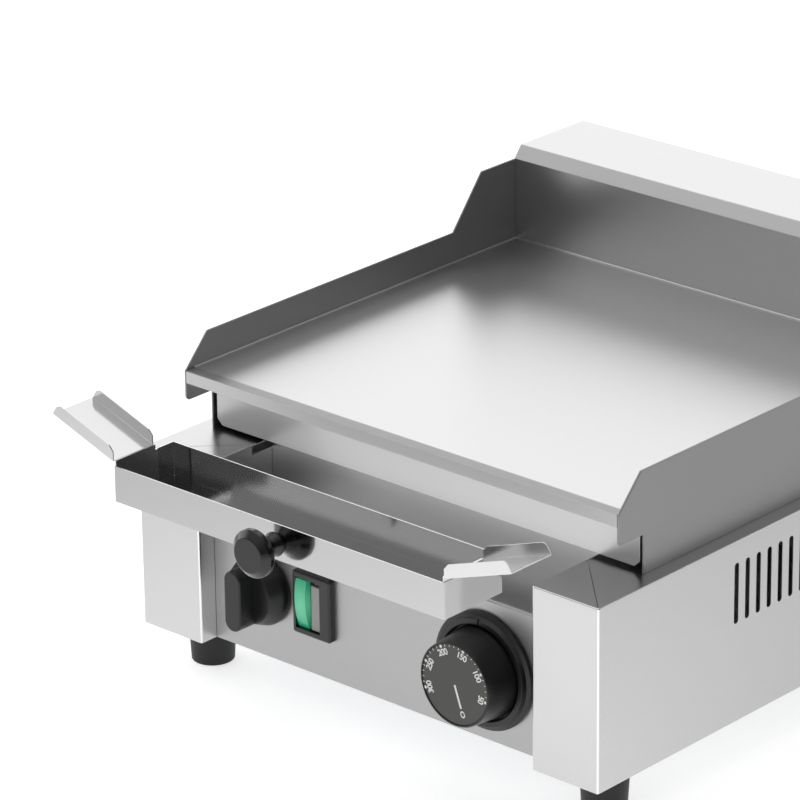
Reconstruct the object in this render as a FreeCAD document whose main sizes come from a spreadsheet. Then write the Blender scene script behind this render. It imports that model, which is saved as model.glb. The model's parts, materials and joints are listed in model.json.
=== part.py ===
import FreeCAD, Part
import math
import os
import re
import Sketcher

# Electric table-top griddle with a lift-out grease drawer.
# X runs across the front, Y to the back, Z up. The origin is on the table, under
# the middle of the overall length with the drawer lifted out. Sizes are millimetres.

doc = FreeCAD.newDocument("griddle")
sheet = doc.addObject("Spreadsheet::Sheet", "Sizes")

sizes = {
    # housing
    "width": 360, "depth": 404, "housing_height": 114.7, "sheet": 1.0,
    "bend": 1.6, "post_width": 49, "frame_depth": 47.8, "mitre_gap": 0.5,
    "base_flange": 42, "rear_flange": 14, "slip": 0.15,
    # feet
    "foot_height": 29, "foot_radius": 14.5, "foot_taper": 1.2, "foot_side": 24, "foot_inset": 35,
    "foot_recess_radius": 6.5, "foot_recess": 9, "foot_screw_radius": 3, "foot_screw_head": 5,
    "foot_screw_head_height": 3.5, "foot_screw_end": 2, "foot_nut_flats": 10, "foot_nut_height": 4,
    "foot_waist": 20.3,
    # side vents
    "vent_start": 124, "vent_pitch": 10.2, "vent_count": 16, "vent_width": 4,
    "vent_length": 38.3, "vent_bottom": 62.7,
    # control panel and drawer bay
    "panel_setback": 13.1, "bay_drop": 25.7, "bay_depth": 66.3, "bay_back_drop": 2,
    "notch_drop": 6.3, "panel_flange": 12,
    # griddle
    "guard_inset": 10.8, "guard_sheet": 1.5, "plate_top": 44.4, "plate_thickness": 8.6,
    "lip_front": 30.2, "lip_slope_run": 6.2, "lip_slope_drop": 0.8, "guard_top": 64.3,
    "guard_nose": 30.4, "guard_slope_back": 50, "tab_bottom": 24.4, "tab_chamfer": 2,
    "guard_leg_front": 52.8, "guard_step_low": 130.2, "guard_step_high": 102.6,
    "guard_high": 97.9, "apron_front": 53.8, "apron_sheet": 1.5, "apron_bottom": 2.6,
    "apron_gap": 2.4, "apron_corner": 4,
    "hood_depth": 69, "hood_inset": 0.6, "hood_slope_run": 6.4, "hood_slope_rise": 7.8,
    "hood_sheet": 1.2, "hood_fold": 0.4,
    # drawer
    "drawer_gap": 2.4, "drawer_depth": 50, "drawer_height": 22.4, "drawer_sheet": 0.8,
    "drawer_pull": 71.1, "drawer_lift": 28.1, "floor_gap": 0.3, "liner_depth": 35.4,
    "wing_depth": 33.5, "wing_reach": 49, "wing_rise": 17, "wing_stand": 2.6,
    "wing_flange": 7.7, "wing_corner": 6, "flange_start": 3, "flange_drop": 2.5, "flange_tip": 1,
    "flange_shoulder": 5.5,
    "pull_radius": 14.6, "pull_face_radius": 10.5, "pull_length": 22, "pull_edge": 3.5, "pull_rim": 3.5,
    "pull_under": 4, "pull_neck": 5.5, "pull_foot": 5, "pull_flare": 2, "pull_rounding": 1.6,
    "pull_height": 9.2, "pull_screw_head": 4.5, "pull_screw_edge": 3.6, "pull_screw_crown": 2,
    "pull_screw_radius": 2, "pull_screw_depth": 9, "pull_screw_end": 0.5,
    # switch
    "switch_side": 131.9, "switch_z": 45.8, "bezel_width": 30.2, "bezel_height": 40.6,
    "bezel_depth": 4.7, "bezel_corner": 2, "window_left": 3, "window_width": 19.4,
    "window_height": 33, "window_depth": 3.4, "rocker_width": 8.6, "rocker_height": 31.6,
    "rocker_gap": 0.3, "rocker_bulge": 2.4, "rocker_proud": 2, "rocker_back": 3, "rocker_tilt": 3.5,
    "rocker_pin": 1.2, "rocker_relief": 2, "rocker_well": 8,
    "lens_width": 8.4, "lens_height": 29, "lens_drop": 1.6, "lens_proud": 1.6,
    "switch_body_depth": 24, "switch_wall": 2, "tab_width": 6.3, "tab_thick": 0.8, "tab_length": 8,
    "tab_pitch": 8,
    # thermostat
    "dial_side": 95, "dial_z": 44, "flange_radius": 36.6, "ring_radius": 34, "ring_step": 2.4,
    "ring_height": 6.2, "ring_inner": 29.2, "ring_floor": 2.4, "ring_chamfer": 1, "ring_edge": 0.8,
    "index_width": 0.9, "index_depth": 1.2,
    "knob_base": 28.4, "knob_face": 25.4, "knob_front": 27.4, "knob_gap": 0.4, "knob_wall": 5,
    "knob_step": 1.2, "knob_step_in": 0.7, "knob_edge": 0.6, "knob_edge_out": 0.5,
    "dial_recess": 0.5, "dial_thick": 1, "dial_rim": 0.9, "dial_gap": 0.1,
    "shaft_radius": 3, "shaft_hole": 4.5, "shaft_fit": 0.05, "stat_width": 44, "stat_height": 40,
    "stat_depth": 30, "stat_boss": 8, "stat_boss_radius": 7, "boss_sink": 0.5, "capillary_radius": 1,
    "bulb_radius": 3, "bulb_length": 90, "bulb_side": 22, "bulb_gap": 0.3, "bulb_neck": 4, "bulb_tip": 2,
    # selector
    "selector_side": 89, "selector_skirt": 22.5, "selector_shoulder": 18, "selector_skirt_depth": 14,
    "selector_bar": 13, "selector_bar_half": 19.5, "selector_depth": 27, "selector_body": 36,
    "selector_body_depth": 30, "selector_gap": 0.4, "selector_rim": 3, "selector_rounding": 1.2,
    # heater under the plate
    "element_radius": 4, "element_pitch": 76, "element_front": 102, "element_rear": 104,
    "element_turn": 38, "element_gap": 0.2, "clamp_thick": 3, "clamp_width": 22,
    "clamp_side": 55, "clamp_front": 120, "clamp_rear": 142, "stud_x": 76, "stud_radius": 3,
    "nut_flats": 10, "nut_height": 5, "stud_hole": 3.6, "stud_end": 1.5, "mat_gap": 0.3, "mat_thick": 14,
    "mat_side": 34, "mat_front": 66, "mat_rear": 78, "shield_sheet": 0.8, "shield_wall": 12,
    # wiring side
    "limiter_x": 60, "limiter_width": 34, "limiter_height": 30, "limiter_depth": 36, "limiter_button": 6,
    "terminal_x": 60, "terminal_rear": 64, "terminal_width": 60, "terminal_depth": 24,
    "terminal_height": 22, "terminal_slot": 2, "terminal_screw": 3, "gland_side": 60, "gland_z": 30,
    "gland_radius": 10.6, "gland_flats": 22, "gland_hexagon": 6, "gland_thread": 8, "gland_bore": 4.2,
    "gland_out": 16, "gland_in": 10, "gland_dome": 3, "gland_nut_height": 5,
    "louvre_length": 60, "louvre_pitch": 12, "louvre_count": 5, "louvre_width": 4,
    "louvre_z": 40, "base_slot_pitch": 14, "base_slot_count": 7, "base_slot_length": 90,
    "screw_radius": 1.8, "screw_head": 3.6, "screw_head_height": 2.2, "screw_length": 6, "screw_inset": 7,
}

for row, (name, number) in enumerate(sizes.items(), start=1):
    sheet.set(f"A{row}", name)
    sheet.set(f"B{row}", str(number))
    sheet.setAlias(f"B{row}", name)
doc.recompute()


# places that follow the housing when its width or depth changes
places = {
    "guard_span": "(width - 2 * guard_inset)",
    "hood_back": "(depth - hood_inset)",
    "splash_front": "(depth - hood_inset - hood_depth)",
    "switch_x": "(switch_side - width / 2)",
    "dial_x": "(width / 2 - dial_side)",
    "selector_x": "(selector_side - width / 2)",
    "bulb_x": "(width / 2 - bulb_side)",
    "element_back": "(depth - element_rear)",
    "clamp_length": "(width - 2 * clamp_side)",
    "clamp_back": "(depth - clamp_rear)",
    "mat_half": "(width / 2 - mat_side)",
    "mat_back": "(depth - mat_rear)",
    "terminal_y": "(depth - terminal_rear)",
    "gland_x": "(width / 2 - gland_side)",
}


def linked(text):
    """The expression with every size name pointing at the sheet."""
    text = re.sub(r"[a-z][a-z_]*", lambda word: places.get(word.group(0), word.group(0)), text)
    return re.sub(r"[a-z][a-z_]*", lambda word: "Sizes." + word.group(0)
                  if word.group(0) in sizes else word.group(0), text)


middle_behind = "(depth - sheet - slip + gland_out - drawer_pull - pull_length) / 2"


def behind(text):
    """Distance back from the front faces of the posts."""
    return f"({text}) - {middle_behind}"


def above(text):
    """Height above the top of the housing."""
    return f"foot_height + housing_height + ({text})"


def from_base(text):
    """Height above the underside of the housing."""
    return f"foot_height + ({text})"


half = "width / 2"
bay_half = "width / 2 - post_width"
guard_half = "guard_span / 2"
inner_half = "(guard_span / 2 - guard_sheet)"
drawer_half = "(width / 2 - post_width - drawer_gap)"
drawer_front = behind("-drawer_pull")
drawer_floor = above("drawer_lift - bay_drop + floor_gap")
drawer_rim = above("drawer_lift - bay_drop + floor_gap + drawer_height")
plate_under = above("plate_top - plate_thickness")
parts = {}


def value(text):
    """The number that an expression stands for now."""
    return float(sheet.evalExpression(linked(text)))


def new_body(label):
    body = doc.addObject("PartDesign::Body", label)
    body.Label = label
    parts[label] = body
    return body


def new_sketch(body, plane, offset, shift=("0", "0")):
    """A sketch on one of the body's own planes; offset is along the plane's normal."""
    sketch = body.newObject("Sketcher::SketchObject", body.Label + "_sketch")
    support = [item for item in body.Origin.OriginFeatures if item.Role == plane + "_Plane"][0]
    sketch.AttachmentSupport = (support, [""])
    sketch.MapMode = "FlatFace"
    for axis, text in zip("xyz", (shift[0], shift[1], offset)):
        sketch.setExpression(f"AttachmentOffset.Base.{axis}", linked(text))
    return sketch


def fix(sketch, kind, geometry, text, point=None):
    """A driving dimension bound to the sheet."""
    if point is None:
        index = sketch.addConstraint(Sketcher.Constraint(kind, geometry, value(text)))
    else:
        index = sketch.addConstraint(Sketcher.Constraint(kind, -1, 1, geometry, point, value(text)))
    sketch.setExpression(f"Constraints[{index}]", linked(text))


def polygon(sketch, points):
    corners = [FreeCAD.Vector(value(x), value(y), 0) for x, y in points]
    first = sketch.GeometryCount
    count = len(points)
    for i in range(count):
        sketch.addGeometry(Part.LineSegment(corners[i], corners[(i + 1) % count]), False)
    for i in range(count):
        follower = first + (i + 1) % count
        sketch.addConstraint(Sketcher.Constraint("Coincident", first + i, 2, follower, 1))
    for i, (x, y) in enumerate(points):
        fix(sketch, "DistanceX", first + i, x, 1)
        fix(sketch, "DistanceY", first + i, y, 1)


def circle(sketch, x, y, radius):
    centre = FreeCAD.Vector(value(x), value(y), 0)
    edge = Part.Circle(centre, FreeCAD.Vector(0, 0, 1), value(radius))
    index = sketch.addGeometry(edge, False)
    fix(sketch, "DistanceX", index, x, 3)
    fix(sketch, "DistanceY", index, y, 3)
    fix(sketch, "Radius", index, radius)


def box(x_low, x_high, y_low, y_high):
    return [(x_low, y_low), (x_high, y_low), (x_high, y_high), (x_low, y_high)]


def hexagon(x, y, flats):
    """Corners of a hexagon with two flats level."""
    corner, near_corner, flat = f"{flats} / sqrt(3)", f"{flats} / (2 * sqrt(3))", f"{flats} / 2"
    return [(f"{x} + {corner}", y), (f"{x} + {near_corner}", f"{y} + {flat}"),
            (f"{x} - {near_corner}", f"{y} + {flat}"), (f"{x} - {corner}", y),
            (f"{x} - {near_corner}", f"{y} - {flat}"), (f"{x} + {near_corner}", f"{y} - {flat}")]


def slot(sketch, x, y, long_side, short_side, along="y"):
    """A slot with round ends, centred on x, y."""
    straight = f"(({long_side}) - ({short_side})) / 2"
    radius = f"({short_side}) / 2"
    normal = FreeCAD.Vector(0, 0, 1)
    lift = (0, 1) if along == "y" else (1, 0)
    turn = 0 if along == "y" else -math.pi / 2
    reach, r = value(straight), value(radius)
    centre = FreeCAD.Vector(value(x), value(y), 0)
    arcs = []
    for end, start in ((1, 0), (-1, math.pi)):
        middle = centre + FreeCAD.Vector(lift[0], lift[1], 0) * reach * end
        whole = Part.Circle(middle, normal, r)
        arcs.append(sketch.addGeometry(Part.ArcOfCircle(whole, start + turn, start + turn + math.pi)))
    for one, other in (arcs, arcs[::-1]):
        a = sketch.getPoint(one, 2)
        b = sketch.getPoint(other, 1)
        line = sketch.addGeometry(Part.LineSegment(a, b))
        sketch.addConstraint(Sketcher.Constraint("Tangent", one, 2, line, 1))
        sketch.addConstraint(Sketcher.Constraint("Tangent", line, 2, other, 1))
    for arc, sign in zip(arcs, ("+", "-")):
        fix(sketch, "DistanceX", arc, f"({x}) {sign} {lift[0]} * {straight}", 3)
        fix(sketch, "DistanceY", arc, f"({y}) {sign} {lift[1]} * {straight}", 3)
    fix(sketch, "Radius", arcs[0], radius)


def place(plane, low, high):
    """Offset of a sketch so that its feature runs from low to high."""
    return f"-({high})" if plane == "XZ" else low


def draw(sketch, shapes):
    for shape in shapes:
        if isinstance(shape, list):
            polygon(sketch, shape)
        elif len(shape) == 3:
            circle(sketch, *shape)
        else:
            slot(sketch, *shape)


def pad(body, plane, low, high, *shapes):
    sketch = new_sketch(body, plane, place(plane, low, high))
    draw(sketch, shapes)
    feature = body.newObject("PartDesign::Pad", body.Label + "_pad")
    feature.Profile = sketch
    feature.setExpression("Length", linked(f"({high}) - ({low})"))
    doc.recompute()
    return feature


def cut(body, plane, low, high, *shapes):
    before = body.Tip.Shape.Volume
    sketch = new_sketch(body, plane, place(plane, low, high))
    draw(sketch, shapes)
    feature = body.newObject("PartDesign::Pocket", body.Label + "_cut")
    feature.Profile = sketch
    feature.Reversed = True
    feature.setExpression("Length", linked(f"({high}) - ({low})"))
    doc.recompute()
    if feature.Shape.Volume >= before:
        raise RuntimeError(f"{feature.Label} removes nothing")
    return feature


def repeat(body, feature, axis, pitch, count):
    """Copies of a feature in a row along one of the body's axes."""
    pattern = body.newObject("PartDesign::LinearPattern", body.Label + "_row")
    pattern.Originals = [feature]
    line = [item for item in body.Origin.OriginFeatures if item.Role == axis + "_Axis"][0]
    pattern.Direction = (line, [""])
    pattern.Mode = "Spacing"
    pattern.setExpression("Offset", linked(pitch))
    pattern.setExpression("Occurrences", linked(count))
    body.Tip = pattern
    doc.recompute()
    return pattern


def turned(body, plane, centre, points, axis):
    """A revolved profile. Upright: centre x, y and points r, z. Lying: centre x, z and points y, r."""
    if axis == "V_Axis":
        sketch = new_sketch(body, plane, f"-({centre[1]})", (centre[0], "0"))
    else:
        sketch = new_sketch(body, plane, centre[0], ("0", centre[1]))
    polygon(sketch, points)
    feature = body.newObject("PartDesign::Revolution", body.Label + "_turned")
    feature.Profile = sketch
    feature.ReferenceAxis = (sketch, [axis])
    feature.Angle = 360
    doc.recompute()
    return feature


def upright(body, x, y, points):
    return turned(body, "XZ", (x, y), points, "V_Axis")


def lying(body, x, z, points):
    return turned(body, "YZ", (x, z), points, "H_Axis")


def rounded(body, radius, choose, kind="Fillet"):
    """Fillet or chamfer on the edges that choose picks by their middle and direction."""
    base = body.Tip
    names = []
    for number, edge in enumerate(base.Shape.Edges, start=1):
        if edge.Length < 1e-6:
            continue
        middle = edge.valueAt((edge.FirstParameter + edge.LastParameter) / 2)
        along = edge.tangentAt((edge.FirstParameter + edge.LastParameter) / 2)
        if choose(middle, along, edge):
            names.append(f"Edge{number}")
    if not names:
        raise RuntimeError(f"{body.Label}: no edge to round")
    feature = body.newObject("PartDesign::" + kind, body.Label + "_" + kind.lower())
    feature.Base = (base, names)
    feature.setExpression("Radius" if kind == "Fillet" else "Size", linked(radius))
    doc.recompute()
    return feature


def near(number, text):
    return abs(number - value(text)) < 0.01


def is_along(direction, axis):
    return abs(abs(getattr(direction, axis)) - 1) < 1e-6


def foot_places():
    return [(f"{side} * ({half} - foot_side)", y) for side in (1, -1)
            for y in (behind("foot_inset"), behind("depth - foot_inset"))]


def screw_heights():
    return [from_base(z) for z in ("2 * screw_inset", "housing_height - 2 * screw_inset")]


def side_shell(label, side):
    """Side wall, front post, bay wall and mitred top frame, bent from one sheet."""
    body = new_body(label)
    outer, post = f"{side} * {half}", f"{side} * ({bay_half})"
    inside = f"{side} * ({half} - sheet)"
    front, rear, bay = behind("0"), behind("depth"), behind("bay_depth")
    post_back = f"{side} * ({bay_half} + sheet)"
    lip = f"{side} * ({half} - rear_flange)"
    pad(body, "XY", from_base("0"), above("0"),
        [(outer, rear), (outer, front), (post, front), (post, bay), (post_back, bay),
         (post_back, behind("sheet")), (inside, behind("sheet")), (inside, behind("depth - sheet")),
         (lip, behind("depth - sheet")), (lip, rear)])
    pad(body, "XY", above("-sheet"), above("0"), box(post, outer, front, rear))
    flange = f"{side} * ({half} - base_flange)"
    pad(body, "XY", from_base("0"), from_base("sheet"), box(flange, outer, front, rear))
    cut(body, "XY", from_base("0"), from_base("sheet"),
        *[(f"{side} * ({half} - foot_side)", y, "foot_screw_radius + slip")
          for y in (behind("foot_inset"), behind("depth - foot_inset"))])
    cut(body, "XZ", behind("depth - sheet"), rear,
        *[(f"{side} * ({half} - screw_inset)", z, "screw_radius + slip") for z in screw_heights()])
    low, high = sorted((post, post_back), key=value)
    cut(body, "YZ", low, high,
        box(behind("frame_depth"), bay, above("-notch_drop"), above("-sheet")))
    cut(body, "YZ", low, high,
        box(behind("panel_setback + panel_flange"), bay,
            from_base("sheet"), from_base("2 * sheet + 2 * slip")))
    wide = "mitre_gap / 2"
    mitre = [(f"{side} * ({half} - bend)", behind(f"bend + {wide}")),
             (f"{side} * ({half} - bend - {wide})", behind("bend")),
             (f"{side} * ({bay_half} + sheet)", behind(f"frame_depth - {wide}")),
             (f"{side} * ({bay_half} + sheet)", behind(f"frame_depth + {wide}"))]
    cut(body, "XY", above("-sheet"), above("0"), mitre)
    low, high = sorted((outer, inside), key=value)
    vent = cut(body, "YZ", low, high,
               (behind("vent_start"), from_base("vent_bottom + vent_length / 2"),
                "vent_length", "vent_width"))
    repeat(body, vent, "Y", "vent_pitch", "vent_count")
    rounded(body, "bend", lambda middle, along, edge:
            is_along(along, "z") and near(middle.y, front) and edge.Length > value("housing_height / 2")
            and (near(middle.x, outer) or near(middle.x, post)))
    rounded(body, "sheet * 0.8", lambda middle, along, edge:
            near(middle.z, above("0")) and (near(middle.x, outer) or near(middle.y, front)))
    return body


def control_panel():
    """Panel, bay floor and bay back wall, folded from one sheet."""
    body = new_body("control_panel")
    reach = f"({bay_half} - slip)"
    face, back = behind("panel_setback"), behind("bay_depth - slip")
    floor, wall_top = above("-bay_drop"), above("-bay_back_drop")
    pad(body, "YZ", f"-{reach}", reach,
        [(face, from_base("0")), (face, floor), (behind("bay_depth - sheet - slip"), floor),
         (behind("bay_depth - sheet - slip"), wall_top), (back, wall_top),
         (back, above("-bay_drop - sheet")), (behind("panel_setback + sheet"), above("-bay_drop - sheet")),
         (behind("panel_setback + sheet"), from_base("sheet")),
         (behind("panel_setback + panel_flange"), from_base("sheet")),
         (behind("panel_setback + panel_flange"), from_base("0"))])
    through = (face, behind("panel_setback + sheet"))
    cut(body, "XZ", *through,
        box("switch_x - bezel_width / 2 + switch_wall", "switch_x + bezel_width / 2 - switch_wall",
            from_base("switch_z - bezel_height / 2 + switch_wall"),
            from_base("switch_z + bezel_height / 2 - switch_wall")),
        ("dial_x", from_base("dial_z"), "shaft_hole"),
        ("selector_x", from_base("dial_z"), "shaft_hole"))
    rounded(body, "bend", lambda middle, along, edge:
            is_along(along, "x") and near(middle.y, face) and near(middle.z, floor))
    return body


def rear_panel():
    """Back sheet behind the return flanges, with louvres and the cable entry."""
    body = new_body("rear_panel")
    reach = f"({half} - sheet - slip)"
    low, high = behind("depth - 2 * sheet - slip"), behind("depth - sheet - slip")
    pad(body, "XZ", low, high, box(f"-{reach}", reach, from_base("sheet + slip"), above("-sheet - slip")))
    cut(body, "XZ", low, high, ("gland_x", from_base("gland_z"), "gland_thread + slip"),
        *[(f"{side} * ({half} - screw_inset)", z, "screw_radius + slip")
          for side in (1, -1) for z in screw_heights()])
    louvre = cut(body, "XZ", low, high,
                 ("-dial_x", from_base("louvre_z"), "louvre_length", "louvre_width", "x"))
    repeat(body, louvre, "Z", "louvre_pitch", "louvre_count")
    return body


def base_plate():
    """Bottom sheet on the side flanges, slotted for cooling air."""
    body = new_body("base_plate")
    reach = f"({half} - sheet - slip)"
    low, high = from_base("sheet"), from_base("2 * sheet")
    front, rear = behind("panel_setback + panel_flange + slip"), behind("depth - 2 * sheet - 2 * slip")
    pad(body, "XY", low, high, box(f"-{reach}", reach, front, rear))
    cut(body, "XY", low, high, *[(x, y, "foot_screw_radius + slip") for x, y in foot_places()])
    vent = cut(body, "XY", low, high,
               ("-base_slot_pitch * (base_slot_count - 1) / 2", behind("depth / 2"),
                "base_slot_length", "vent_width"))
    repeat(body, vent, "X", "base_slot_pitch", "base_slot_count")
    return body


def foot(label, side, y):
    """Black cylinder with a rounded tread and a recess for its screw."""
    body = new_body(label)
    x = f"{side} * ({half} - foot_side)"
    upright(body, x, y,
            [("foot_screw_radius + slip", "foot_recess"), ("foot_recess_radius", "foot_recess"),
             ("foot_recess_radius", "0"), ("foot_radius - foot_taper", "0"),
             ("foot_radius", "foot_waist"), ("foot_radius", "foot_height"),
             ("foot_screw_radius + slip", "foot_height")])
    rounded(body, "foot_taper", lambda middle, along, edge:
            near(middle.z, "0") and edge.Length > value("foot_recess_radius") * 2 * math.pi + 1)
    return body


def foot_screws():
    """Four screws up through the feet into nuts on the base plate."""
    body = new_body("foot_screws")
    top = from_base("2 * sheet + foot_nut_height + foot_screw_end")
    pad(body, "XY", "foot_recess - foot_screw_head_height", "foot_recess",
        *[(x, y, "foot_screw_head") for x, y in foot_places()])
    pad(body, "XY", "foot_recess", top, *[(x, y, "foot_screw_radius") for x, y in foot_places()])
    return body


def foot_nuts():
    body = new_body("foot_nuts")
    low, high = from_base("2 * sheet"), from_base("2 * sheet + foot_nut_height")
    pad(body, "XY", low, high, *[hexagon(x, y, "foot_nut_flats") for x, y in foot_places()])
    cut(body, "XY", low, high, *[(x, y, "foot_screw_radius + slip") for x, y in foot_places()])
    return body


def griddle_plate():
    """Thick steel cooking plate; its front edge slopes and overhangs as a drip lip."""
    body = new_body("griddle_plate")
    pad(body, "YZ", f"-{inner_half}", inner_half,
        [(behind("lip_front"), plate_under), (behind("lip_front"), above("plate_top - lip_slope_drop")),
         (behind("lip_front + lip_slope_run"), above("plate_top")),
         (behind("splash_front"), above("plate_top")), (behind("splash_front"), plate_under)])
    return body


def guard(label, side):
    """Side splash guard: drip nose at the front, low rim, and a step up to the hood."""
    body = new_body(label)
    low, high = sorted((f"{side} * {guard_half}", f"{side} * {inner_half}"), key=value)
    nose, leg = behind("guard_nose"), behind("guard_leg_front")
    pad(body, "YZ", low, high,
        [(nose, above("tab_bottom + tab_chamfer")), (nose, above("plate_top - lip_slope_drop")),
         (behind("guard_slope_back"), above("guard_top")),
         (behind("depth - guard_step_low"), above("guard_top")),
         (behind("depth - guard_step_high"), above("guard_high")),
         (behind("splash_front"), above("guard_high")),
         (behind("splash_front"), above("0")), (leg, above("0")), (leg, above("tab_bottom")),
         (behind("guard_nose + tab_chamfer"), above("tab_bottom"))])
    return body


def front_apron():
    """Face below the lip, a little narrower than the guards, with cut corners."""
    body = new_body("front_apron")
    reach = f"({inner_half} - apron_gap)"
    low, high = behind("apron_front"), behind("apron_front + apron_sheet")
    bottom = above("apron_bottom")
    pad(body, "XZ", low, high,
        [(f"-{reach} + apron_corner", bottom), (f"{reach} - apron_corner", bottom),
         (reach, above("apron_bottom + apron_corner")), (reach, plate_under),
         (f"-{reach}", plate_under), (f"-{reach}", above("apron_bottom + apron_corner"))])
    return body


def rear_hood():
    """Backsplash and raised rear box, one folded sheet with welded ends, open below."""
    body = new_body("rear_hood")
    front, back = "splash_front", "hood_back"
    pad(body, "YZ", f"-{guard_half}", guard_half,
        [(behind(front), above("0")), (behind(front), above("guard_high")),
         (behind("splash_front + hood_slope_run"), above("guard_high + hood_slope_rise")),
         (behind(back), above("guard_high + hood_slope_rise")), (behind(back), above("0"))])
    inside = f"({guard_half} - hood_sheet)"
    top = "guard_high + hood_slope_rise - hood_sheet"
    cut(body, "YZ", f"-{inside}", inside,
        [(behind("splash_front + hood_sheet"), above("0")),
         (behind("splash_front + hood_sheet"), above("guard_high - hood_fold")),
         (behind("splash_front + hood_slope_run + hood_fold"), above(top)),
         (behind("hood_back - hood_sheet"), above(top)), (behind("hood_back - hood_sheet"), above("0"))])
    rounded(body, "sheet", lambda middle, along, edge:
            near(middle.z, above("guard_high + hood_slope_rise")) and abs(along.z) < 0.1
            and near(middle.y, behind(back)))
    return body


def drawer_tray():
    """Long shallow grease tray, open at the top, with bend radii at its four upright corners."""
    body = new_body("drawer_tray")
    near_side, far_side = drawer_front, f"{drawer_front} + drawer_depth"
    pad(body, "XY", drawer_floor, drawer_rim, box(f"-{drawer_half}", drawer_half, near_side, far_side))
    rounded(body, "bend", lambda middle, along, edge: is_along(along, "z"))
    inside = f"({drawer_half} - drawer_sheet)"
    cut(body, "XY", f"{drawer_floor} + drawer_sheet", drawer_rim,
        box(f"-{inside}", inside, f"{near_side} + drawer_sheet", f"{far_side} - drawer_sheet"))
    cut(body, "XZ", near_side, f"{near_side} + drawer_sheet",
        ("0", f"{drawer_floor} + pull_height", "pull_screw_radius + slip"))
    return body


def drawer_wing(label, side):
    """Liner welded inside the tray's end, folded out into a sloping drip chute with two flanges."""
    body = new_body(label)
    root = f"({drawer_half} - drawer_sheet)"
    inner = f"({root} - drawer_sheet)"
    stand = f"{drawer_rim} + wing_stand"
    tip = f"({drawer_half} + wing_reach)"
    start = f"{drawer_front} + drawer_sheet"
    chute_top = f"{stand} + drawer_sheet"
    pad(body, "XZ", start, f"{drawer_front} + liner_depth",
        box(*sorted((f"{side} * {root}", f"{side} * {inner}"), key=value),
            f"{drawer_floor} + drawer_sheet", drawer_rim))
    profile = [(f"{side} * {inner}", drawer_rim), (f"{side} * {root}", drawer_rim),
               (f"{side} * {root}", stand), (f"{side} * {drawer_half}", stand),
               (f"{side} * {tip}", f"{stand} + wing_rise"),
               (f"{side} * {tip}", f"{chute_top} + wing_rise"),
               (f"{side} * {drawer_half}", chute_top), (f"{side} * {inner}", chute_top)]
    pad(body, "XZ", start, f"{drawer_front} + wing_depth", profile)
    slope = "wing_rise / wing_reach"
    low = f"{stand} - drawer_sheet / 2"
    flange = [(f"{side} * {drawer_half}", stand), (f"{side} * {tip}", f"{stand} + wing_rise"),
              (f"{side} * {tip}", f"{stand} + wing_rise + flange_tip"),
              (f"{side} * ({tip} - wing_corner / 2)", f"{stand} + wing_rise + flange_shoulder"),
              (f"{side} * ({tip} - wing_corner)",
               f"{chute_top} + wing_rise - {slope} * wing_corner + wing_flange"),
              (f"{side} * ({drawer_half} + flange_start)",
               f"{chute_top} + {slope} * flange_start + wing_flange"),
              (f"{side} * {drawer_half}", f"{chute_top} + wing_flange - flange_drop")]
    pad(body, "XZ", drawer_front, start, flange)
    pad(body, "XZ", f"{drawer_front} + wing_depth - drawer_sheet", f"{drawer_front} + wing_depth", flange)
    return body


def drawer_pull():
    """Round mushroom knob on a neck."""
    body = new_body("drawer_pull")
    face = drawer_front
    crown = f"{drawer_front} - pull_length"
    lying(body, "0", f"{drawer_floor} + pull_height",
          [(crown, "0"), (crown, "pull_face_radius"), (f"{crown} + pull_edge", "pull_radius"),
           (f"{crown} + pull_edge + pull_rim", "pull_radius"),
           (f"{crown} + pull_edge + pull_rim + pull_under", "pull_face_radius"),
           (f"{face} - pull_foot", "pull_neck"), (face, "pull_neck + pull_flare"),
           (face, "pull_screw_radius + slip"), (f"{face} - pull_screw_depth", "pull_screw_radius + slip"),
           (f"{face} - pull_screw_depth", "0")])
    rounded(body, "pull_rounding", lambda middle, along, edge:
            middle.y < value(f"{face} - pull_foot - 1") and edge.Length > value("pull_neck") * 8)
    return body


def drawer_pull_screw():
    body = new_body("drawer_pull_screw")
    face = f"{drawer_front} + drawer_sheet"
    end = f"{drawer_front} - pull_screw_depth + pull_screw_end"
    lying(body, "0", f"{drawer_floor} + pull_height",
          [(f"{face} + pull_screw_crown", "0"), (f"{face} + pull_screw_crown", "pull_screw_edge"),
           (face, "pull_screw_head"), (face, "pull_screw_radius"), (end, "pull_screw_radius"), (end, "0")])
    return body


bezel_front = behind("panel_setback - bezel_depth")
bezel_back = behind("panel_setback")
switch_height = from_base("switch_z")
window_x = "(switch_x - bezel_width / 2 + window_left)"
rocker_x = f"({window_x} + rocker_gap)"
rocker_y = f"{bezel_front} + window_depth"


def switch_bezel():
    """Snap-in frame with a sunk window for the rocker and the lens."""
    body = new_body("switch_bezel")
    wide, tall = "bezel_width / 2", "bezel_height / 2"
    pad(body, "XZ", bezel_front, bezel_back,
        box(f"switch_x - {wide}", f"switch_x + {wide}",
            f"{switch_height} - {tall}", f"{switch_height} + {tall}"))
    rounded(body, "bezel_corner", lambda middle, along, edge: is_along(along, "y"))
    rounded(body, "bezel_corner * 0.6", lambda middle, along, edge: near(middle.y, bezel_front), "Chamfer")
    window = box(window_x, f"{window_x} + window_width",
                 f"{switch_height} - window_height / 2", f"{switch_height} + window_height / 2")
    cut(body, "XZ", bezel_front, f"{bezel_front} + window_depth", window)
    cut(body, "XZ", f"{bezel_front} + window_depth", bezel_back,
        box(rocker_x + " - rocker_gap", rocker_x + " + rocker_width + rocker_gap",
            f"{switch_height} - window_height / 2 + rocker_gap",
            f"{switch_height} + window_height / 2 - rocker_gap"))
    return body


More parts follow.
